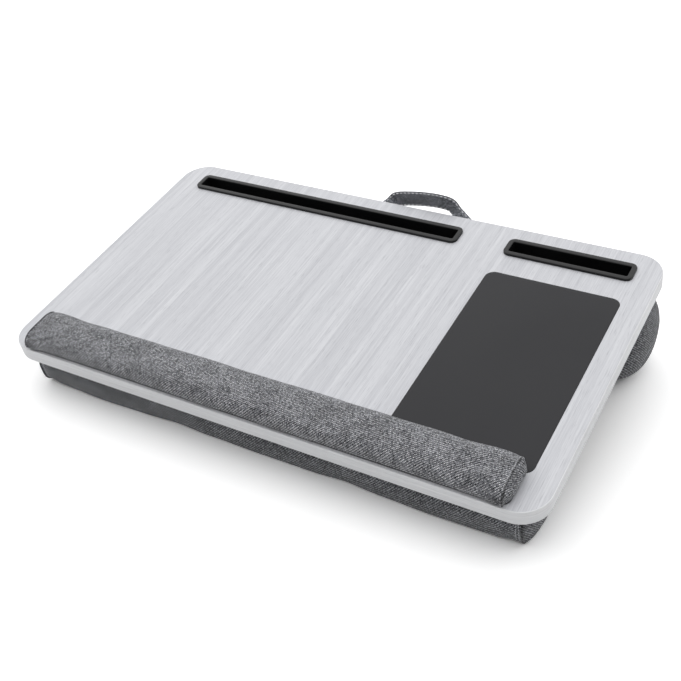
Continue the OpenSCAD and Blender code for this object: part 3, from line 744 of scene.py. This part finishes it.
def cushion(name, spec, section, pinned, clampTo, creases=None, shiftX=0.0):
    # section carried along x between two seams and closed by domed ends
    seam = spec["seam"]
    x, scale = stationsAlong(spec, spec["fine"], cushions["coarse"], spec["growth"],
                             spec["endSteps"])
    angles, girth = evenAngles(section, spec["around"])
    grid = cushionGrid(x, scale, angles, section)
    roughX, roughScale = stationsAlong(spec, 5.0, 6.0, 0.2, 6)
    roughAngles, _ = evenAngles(section, spec["roughAround"])
    roughGrid = cushionGrid(roughX, roughScale, roughAngles, section)
    slimming = spec["start"] * gridNormals(roughGrid)
    slim = roughGrid - slimming
    held = pinned(slim) | (np.abs(np.abs(roughX) - seam) < 0.5)[:, None]
    shift = inflate(name + "Rough", slim, held, spec) - slimming
    shift = soften(spread(shift, roughX, roughAngles, x, angles), cushions["softenTimes"])
    # the sewn ends give less than the tube between them
    reach = cushions["sewnReach"]
    toEnd = np.clip((np.abs(x) - seam + reach) / reach, 0, 1)[:, None, None]
    grid = grid + shift * (1 - (1 - spec["endSwell"]) * toEnd)
    normal = gridNormals(grid)
    fromSeam = (np.abs(x) - seam)[:, None]
    run = np.linspace(0, girth, spec["around"], endpoint=False)
    # puckers fade away from the seam, the seam itself is a narrow groove, and the whole
    # surface is very slightly uneven
    near = np.where(x[:, None] > 0, wave(run, 7, 26, 9)[None, :], wave(run, 7, 26, 9)[None, :])
    relief = (spec["pucker"] * near * np.exp(-(np.abs(fromSeam) / spec["puckerReach"]))
              * (1 - np.exp(-(fromSeam / cushions["puckerStart"]) ** 2))
              - spec["groove"] * np.exp(-(fromSeam / spec["grooveWidth"]) ** 2))
    if creases is not None:
        relief = relief + creases(grid)
    # painted shade at the bottom of a fold, where little light reaches: how deep it is, as a share
    # of the fold depth
    shaded = np.clip(-relief / spec["foldDepth"], 0, 1) ** cushions["foldPower"]
    # painted shade near the board: the cover is painted darker towards its bottom over the low
    # band, by the piece's lowShade share
    low = np.clip(1 - grid[..., 2] / cushions["lowBand"], 0, 1)
    shaded = np.maximum(shaded, spec.get("lowShade", 0.0) * low)
    relief += spec["uneven"] * wave(x, 6, 170, 45)[:, None] * wave(run, 5, 140, 50)[None, :]
    grid = clampTo(grid + relief[..., None] * normal)
    along = lengths(np.stack([x, scale * spec["endHigh"]], -1))
    uv = weavePlaces(along, np.append(run, girth))
    poles = clampTo(np.array([[grid[0].mean(0) - [spec["poleOut"], 0, 0]],
                              [grid[-1].mean(0) + [spec["poleOut"], 0, 0]]]))[:, 0]
    moved = np.array([shiftX, 0.0, 0.0])
    piece = gridObject(name, toRow(grid + moved), uv, ends=toRow(poles + moved))
    addValues(piece, "paintedShade", np.append(shaded.ravel(), [0.0, 0.0]))
    smooth = piece.modifiers.new("smooth", "SUBSURF")
    smooth.levels = smooth.render_levels = 1
    return piece, grid, x


def addValues(piece, name, values):
    piece.data.attributes.new(name, "FLOAT", "POINT").data.foreach_set(
        "value", values.astype(np.float32))


def softMax(a, b, k):
    return (a + b + np.sqrt((a - b) ** 2 + k * k)) / 2


def softMin(a, b, k):
    return (a + b - np.sqrt((a - b) ** 2 + k * k)) / 2


# how a bolster meets the lining and the surface, in mm: its clearance, how softly it bends to
# each, the band of it that the lining holds, how far its whole section would dip into the
# surface, and how far its middle is above half way
meeting = {"clear": 0.05, "lowSoft": 0.5, "topSoft": 0.8, "held": 3.0, "dip": 0.5, "rise": 1.5}


def bolster(name, spec):
    # section |y/ry|^p + |z/rz|^p = 1, pressed flat on the lining above and the surface below;
    # rz is such that the tilted section's lowest point dips into the surface by the given depth
    power, ry, yMid = spec["power"], spec["deep"] / 2, spec["centre"]
    zMid = (clothZ + floorZ(yMid)) / 2 + meeting["rise"]
    sine, cosine = math.sin(stance["slope"]), math.cos(stance["slope"])
    dual = power / (power - 1)
    lift = stance["frontHeight"] + yMid * sine + zMid * cosine
    rz = ((lift + meeting["dip"]) ** dual - (ry * sine) ** dual) ** (1 / dual) / cosine

    def press(y, z):
        raised = softMax(z, floorZ(y) + meeting["clear"], meeting["lowSoft"])
        return softMin(raised, clothZ - meeting["clear"], meeting["topSoft"])

    def section(angle, scale, x):
        y = yMid + scale * ry * signedPower(np.cos(angle), 2 / power)
        z = zMid + scale * rz * signedPower(np.sin(angle), 2 / power)
        return y, press(y, z)

    def pinned(grid):
        return grid[..., 2] > clothZ - meeting["held"]

    def clampTo(grid):
        out = grid.copy()
        out[..., 2] = press(grid[..., 1], grid[..., 2])
        return out

    piece, grid, x = cushion(name + "Bolster", spec, section, pinned, clampTo)
    endWeave(piece, spec["seam"], toRow([0, yMid, zMid])[1:])
    dress(piece, shadedHeather, replaces=[
        f"{name}_bolster_{part}" for part in ("cover", "end_left", "end_right", "fill")])
    return piece, grid, x


frontSpec = {"seam": 259.0, "tip": 269.3, "endPower": 1.9, "deep": 80.0, "centre": 49.0,
             "power": 3.6, "taper": 0.085, "fine": 0.8, "growth": 0.12, "endSteps": 12,
             "around": 128, "roughAround": 36, "start": 1.5, "pressure": 4.0, "stretch": 30.0,
             "cap": 5.0, "endSwell": 0.15, "foldDepth": 2.0, "pucker": 1.0,
             "puckerReach": 14.0, "groove": 2.4, "grooveWidth": 1.5, "uneven": 0.5,
             "endHigh": 22.0, "poleOut": 0.05}
rearSpec = {"seam": 240.0, "tip": 281.2, "endPower": 2.5, "deep": 100.0, "centre": 288.0,
            "power": 2.2, "taper": 0.0, "fine": 0.9, "growth": 0.12, "endSteps": 22,
            "around": 144, "roughAround": 44, "start": 1.5, "pressure": 4.0, "stretch": 30.0,
            "cap": 5.0, "endSwell": 0.4, "foldDepth": 1.8, "pucker": 0.8, "puckerReach": 18.0,
            "groove": 1.3, "grooveWidth": 1.4, "uneven": 0.7, "endHigh": 44.0, "poleOut": 0.1}
frontBolster, frontGrid, frontX = bolster("front", frontSpec)
rearBolster, rearGrid, rearX = bolster("rear", rearSpec)
print("bolsters made")

rest = {"seam": 249.0, "tip": 254.75, "endPower": 2.2, "corner": 12.0, "deep": 46.0,
        "high": 16.0, "left": 24.0, "right": 26.5, "front": 1.0, "power": 3.2, "middle": 6.5,
        "taper": 0.0, "fine": 0.7, "growth": 0.1, "endSteps": 16, "around": 128,
        "roughAround": 30, "start": 0.2, "pressure": 4.5, "stretch": 40.0, "cap": 1.6,
        "endSwell": 0.8, "foldDepth": 1.3, "lowShade": 0.35, "pucker": 0.9,
        "puckerReach": 6.0, "groove": 1.3, "grooveWidth": 1.0, "uneven": 0.35,
        "endHigh": 8.0, "poleOut": 0.3, "crease": 2.2, "lip": 1.9, "lipFrom": 8.5,
        "lipOver": 3.5, "clear": 0.03, "soft": 0.3, "dip": 1.2, "held": 2.4}
restX = (rest["left"] - rest["right"]) / 2
restY = rest["front"] + rest["deep"] / 2


def restSection(angle, scale, x):
    # |y/ry|^p + |(z - m)/rz|^p = 1 above the board, with its lower part pressed flat; in plan
    # the corners are quarter circles, ry = half depth - (r - sqrt(r^2 - d^2))
    r, middle = rest["corner"], rest["middle"]
    past = np.clip((np.abs(x) - rest["tip"] + r) / r, 0, 0.97)
    half = rest["deep"] / 2 - r * (1 - np.sqrt(1 - past ** 2))
    y = restY + half * signedPower(np.cos(angle), 2 / rest["power"])
    up = signedPower(np.sin(angle), 2 / rest["power"])
    z = middle + scale * np.where(up > 0, rest["high"] - middle, middle + rest["dip"]) * up
    return y, restPress(x, y, z)


def restPress(x, y, z):
    # the cover lies flat in the middle, and its rim stands a little clear: height = lip * share,
    # share rising from 0 to 1 over a few mm near the edge
    rim = np.maximum(np.abs(y - restY) - rest["deep"] / 2, np.abs(x) - rest["tip"])
    lip = rest["lip"] * np.clip((rim + rest["lipFrom"]) / rest["lipOver"], 0, 1)
    return softMax(z, rest["clear"] + lip, rest["soft"])


def restClamp(grid):
    out = grid.copy()
    out[..., 2] = restPress(*np.moveaxis(grid, -1, 0))
    return out


def restCreases(grid):
    # folded corners: an upright crease and three short pleats low on the front at both ends,
    # each a groove exp(-(distance / width)^2), in mm
    inward = rest["seam"] - np.abs(grid[..., 0])
    front = np.clip((restY - grid[..., 1]) / (rest["deep"] / 2) * 3 - 1.6, 0, 1)
    z = grid[..., 2]
    upright = np.exp(-(inward - 0.6) ** 2) * np.clip(2.0 - z / 7, 0, 1)
    pleats = sum(np.exp(-((z - level - inward * lean) / 0.75) ** 2)
                 for level, lean in ((3.2, 0.04), (6.2, -0.06), (9.4, -0.24)))
    within = np.clip((15 - inward) / 9, 0, 1) * np.clip(inward / 1.5, 0, 1)
    return -rest["crease"] * front * (upright + 0.8 * pleats * within)


wristRest, wristGrid, wristX = cushion(
    "wristRest", rest, restSection, lambda grid: grid[..., 2] < rest["held"], restClamp,
    restCreases, restX)
dress(wristRest, heatherTwill,
      replaces=["wrist_rest_cover", "wrist_rest_foam"])
print("wrist rest made")

# stations from the right foot over the grip to the left foot
half, low = strap["span"] / 2, strap["tailZ"]
strapKeys = np.array([
    # x, y, z of the ribbon's middle; turn of its width from x up to z in degrees
    [half, strap["tailFront"], low, 0], [half, 318.0, low, 0], [half, 330.0, low, 0],
    [half, 334.6, -15.6, 0], [half - 0.5, 336.4, -14.4, 8], [half - 3.0, 337.8, -12.3, 22],
    [half - 6.5, 339.4, -9.4, 40], [half - 10.5, 341.0, -5.9, 58],
    [34.9, 342.3, -2.2, 74], [31.6, 343.1, 1.4, 84], [28.7, 343.4, 4.0, 92],
    [23.0, 343.2, 6.0, 90], [9.8, 343.0, 6.6, 90], [-7.1, 343.0, 5.0, 90],
    [-26.2, 342.9, 1.5, 90], [-34.8, 342.7, -1.2, 91], [-37.4, 342.0, -3.2, 98],
    [-39.2, 341.2, -5.6, 108], [-41.6, 340.0, -8.2, 123], [6.0 - half, 338.8, -10.2, 142],
    [3.2 - half, 337.4, -12.6, 160], [0.6 - half, 336.2, -14.6, 172],
    [-half, 334.6, -15.6, 180], [-half, 330.0, low, 180], [-half, 318.0, low, 180],
    [-half, strap["tailFront"], low, 180]])


def smoothLine(keys, count):
    # Catmull-Rom curve through the keys, at even steps of its length
    padded = np.vstack([2 * keys[0] - keys[1], keys, 2 * keys[-1] - keys[-2]])
    t = np.linspace(0, len(keys) - 1, 60 * len(keys))
    k = np.clip(t.astype(int), 0, len(keys) - 2)
    f = (t - k)[:, None]
    p0, p1, p2, p3 = padded[k], padded[k + 1], padded[k + 2], padded[k + 3]
    curve = 0.5 * (2 * p1 + (p2 - p0) * f + (2 * p0 - 5 * p1 + 4 * p2 - p3) * f ** 2
                   + (3 * p1 - p0 - 3 * p2 + p3) * f ** 3)
    run = lengths(curve[:, :3])
    even = np.linspace(0, run[-1], count)
    return np.stack([np.interp(even, run, curve[:, c]) for c in range(keys.shape[1])], -1)


def unit(vectors):
    return vectors / np.linalg.norm(vectors, axis=-1, keepdims=True)


centreLine = smoothLine(strapKeys, 280)
turnAngle = np.radians(centreLine[:, 3])
tangent = unit(np.gradient(centreLine[:, :3], axis=0))
widthWay = np.stack([np.cos(turnAngle), np.zeros(len(turnAngle)), np.sin(turnAngle)], -1)
widthWay = unit(widthWay - (widthWay * tangent).sum(1, keepdims=True) * tangent)
faceWay = np.cross(tangent, widthWay)

# ribbon's section: a flat superellipse, |w / half width|^6 + |t / half thickness|^2.5 = 1
edgeAngle = np.linspace(0, 2 * math.pi, 28, endpoint=False)
across = strap["width"] / 2 * signedPower(np.cos(edgeAngle), 2 / 6)
through = strap["thick"] / 2 * signedPower(np.sin(edgeAngle), 2 / 2.5)
ribbonGrid = (centreLine[:, None, :3] + widthWay[:, None] * across[None, :, None]
              + faceWay[:, None] * through[None, :, None])
ribbonGrid[..., 0] += strap["shift"]
ribbonUv = weavePlaces(lengths(centreLine[:, :3]),
                       lengths(np.stack([across, through], -1), closed=True))
carryStrap = gridObject("carryStrap", toRow(ribbonGrid), ribbonUv)
# painted light: the legs, whose width lies flat, are painted paler than the upright grip, which
# faces forward into shade; 0 where the width is upright, 1 past 20 degrees
legLightShare = np.clip((np.abs(centreLine[:, 3] - 90) - 5) / 15, 0, 1)
addValues(carryStrap, "paintedLight", np.append(np.repeat(legLightShare, len(edgeAngle)), [1.0, 1.0]))
dress(carryStrap, strapDenim, body=None,
      replaces=["strap_grip", "strap_tails"])


def stitchRow(name, line, out, thread, spacing, share, radius):
    # one capsule per stitch: ring radius sin(a), laid along the line and half sunk in the cloth
    run = lengths(line)
    count = int(run[-1] / spacing)
    centres = (np.arange(count) + 0.5) * run[-1] / count
    ringAngle = np.linspace(0, 2 * math.pi, 6, endpoint=False)
    lengthwise = np.array([-1.0, -0.82, -0.3, 0.3, 0.82, 1.0])
    girth = np.array([0.25, 0.75, 1.0, 1.0, 0.75, 0.25])
    at = centres[:, None] + spacing * share / 2 * lengthwise[None, :]

    def alongLine(values):
        return np.stack([np.interp(at, run, values[:, c]) for c in range(3)], -1)

    along, normal = unit(alongLine(np.gradient(line, axis=0))), unit(alongLine(out))
    side = np.cross(along, normal)
    ring = (np.cos(ringAngle)[:, None] * side[..., None, :]
            + np.sin(ringAngle)[:, None] * normal[..., None, :])
    grid = alongLine(line)[..., None, :] + radius * girth[None, :, None, None] * ring
    rows, around = grid.shape[1:3]
    points = grid.reshape(-1, 3)
    base = (np.arange(count) * rows * around)[:, None, None]
    quads = (ringQuads(rows, around)[None] + base).reshape(-1, 4)[:, ::-1]
    caps = np.concatenate([np.arange(around)[None], (rows - 1) * around
                           + np.arange(around)[None, ::-1]])
    caps = (caps[None] + base).reshape(-1, around)
    mesh = bpy.data.meshes.new(name)
    mesh.from_pydata(toRow(points).tolist(), [], quads.tolist() + caps.tolist())
    mesh.polygons.foreach_set("use_smooth", np.ones(len(mesh.polygons), bool))
    mesh.update()
    piece = linked(name, mesh)
    piece.data.materials.append(thread)
    return piece


# stitches run over the part of the ribbon that leaves the board, in mm from its edges
strapThread = {"inward": 1.6, "sunk": 0.05, "spacing": 4.8, "share": 0.66, "radius": 0.6}
threadSizes = {key: strapThread[key] for key in ("spacing", "share", "radius")}
visible = slice(50, -50)
blended = [carryStrap]
for label, side in (("Upper", 1), ("Lower", -1)):
    for face, way in (("Inner", 1), ("Outer", -1)):
        line = (centreLine[visible, :3]
                + widthWay[visible] * side * (strap["width"] / 2 - strapThread["inward"])
                + faceWay[visible] * way * (strap["thick"] / 2 - strapThread["sunk"]))
        line[:, 0] += strap["shift"]
        row = stitchRow(f"strapStitch{label}{face}", line, faceWay[visible] * way, paleThread,
                        **threadSizes)
        blended.append(row)
# each piece's placing is baked into its mesh
for piece in blended:
    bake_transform(piece)
print("strap made")


def seamStitches(name, grid, x, place, columns, radius, shift=0.0):
    # follows one ring of a cushion's grid at the station nearest to the place
    row = int(np.argmin(np.abs(x - place)))
    normal = gridNormals(grid)[row, columns]
    line = grid[row, columns] + 0.05 * normal + np.array([shift, 0.0, 0.0])
    piece = stitchRow(name, line, normal, greyThread, 3.4, 0.68, radius)
    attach(piece, "desk")


def ringColumns(grid, keep):
    # columns of the ring that pass the test, as one unbroken run
    test = keep(grid[len(grid) // 2])
    first = int(np.flatnonzero(test & ~np.roll(test, 1))[0])
    return (first + np.arange(test.sum())) % len(test)


# both bolsters' seams are sewn twice, on the part of the front that shows; the rest's once
for name, grid, x, spec in (("front", frontGrid, frontX, frontSpec),
                            ("rear", rearGrid, rearX, rearSpec)):
    columns = ringColumns(grid, lambda ring: (ring[:, 2] < clothZ - 1.5)
                          & (ring[:, 2] > floorZ(ring[:, 1]) + 1.0)
                          & (ring[:, 1] < spec["centre"]))
    for side, label in ((1, "Right"), (-1, "Left")):
        for inward in (2.4, 5.4):
            seamStitches(f"{name}Stitch{label}{int(inward)}", grid, x,
                         side * (spec["seam"] - inward), columns, 0.46)
restColumns = ringColumns(wristGrid, lambda ring: ring[:, 2] > 1.2)
for side, label in ((1, "Right"), (-1, "Left")):
    seamStitches(f"restStitch{label}", wristGrid, wristX, side * (rest["seam"] - 1.6),
                 restColumns, 0.38, restX)
print("stitches made")

stageMesh = bpy.data.meshes.new("floor")
wide = 6.0
stageMesh.from_pydata([(-wide, -wide, 0), (wide, -wide, 0), (wide, wide, 0), (-wide, wide, 0)],
                      [], [(0, 1, 2, 3)])
floor = linked("floor", stageMesh)
floorMaterial, floorTree, floorShader = newMaterial(
    "paleFloor", 1.0, 0.0, **{"Base Color": (0.82, 0.82, 0.82, 1.0)})


def seenDirectly(tree):
    # 1 for rays from the camera, from gloss and through clear things, 0 for the light's rays
    path = addNode(tree, "ShaderNodeLightPath").outputs
    return calc(tree, "MAXIMUM", path["Is Camera Ray"], calc(
        tree, "MAXIMUM", path["Is Glossy Ray"], path["Is Transmission Ray"]))


# the picture's floor is bleached: what is seen of it is paler than what lights the object, and
# it keeps its shadow
bleachShare = 0.54
bleach = product(floorTree, seenDirectly(floorTree), bleachShare)
bleached = addNode(floorTree, "ShaderNodeBsdfDiffuse", {"Color": addNode(
    floorTree, "ShaderNodeCombineColor", {0: bleach, 1: bleach, 2: bleach}).outputs[0]})
both = addNode(floorTree, "ShaderNodeAddShader", {0: floorShader.outputs[0],
                                                  1: bleached.outputs[0]})
floorTree.links.new(both.outputs[0], floorTree.nodes["Material Output"].inputs["Surface"])
floor.data.materials.append(floorMaterial)

world = bpy.data.worlds.new("paleStudio")
scene.world = world
world.use_nodes = True
skyTree = world.node_tree
sky = skyTree.nodes["Background"]
fill = 0.14
sky.inputs["Color"].default_value = (1.0, 1.0, 1.0, 1.0)
strength = mapRange(skyTree, seenDirectly(skyTree), 0.0, 1.0, fill, 1.0)
skyTree.links.new(strength, sky.inputs["Strength"])

lamp = bpy.data.lights.new("softOverhead", "SUN")
lamp.energy = 2.85
lamp.angle = math.radians(130)
linked("softOverhead", lamp).rotation_euler = (math.radians(-10), math.radians(-6), 0.0)

# the camera's place and directions, fitted to the board's outline
view = {"place": (0.45971, -0.72039, 0.60389), "right": (0.86254, 0.50303, -0.05468),
        "up": (-0.24064, 0.50287, 0.83019), "lens": 54.136}
camera = linked("camera", bpy.data.cameras.new("camera"))
camera.data.lens = view["lens"]
camera.data.sensor_width = 36.0
right, up = np.array(view["right"]), np.array(view["up"])
right = unit(right)
up = unit(up - right * (up @ right))
placed = np.eye(4)
placed[:3] = np.stack([right, up, np.cross(right, up), view["place"]], -1)
camera.matrix_world = Matrix(placed.tolist())
scene.camera = camera
scene.view_settings.view_transform = "Standard"
print("stage set")
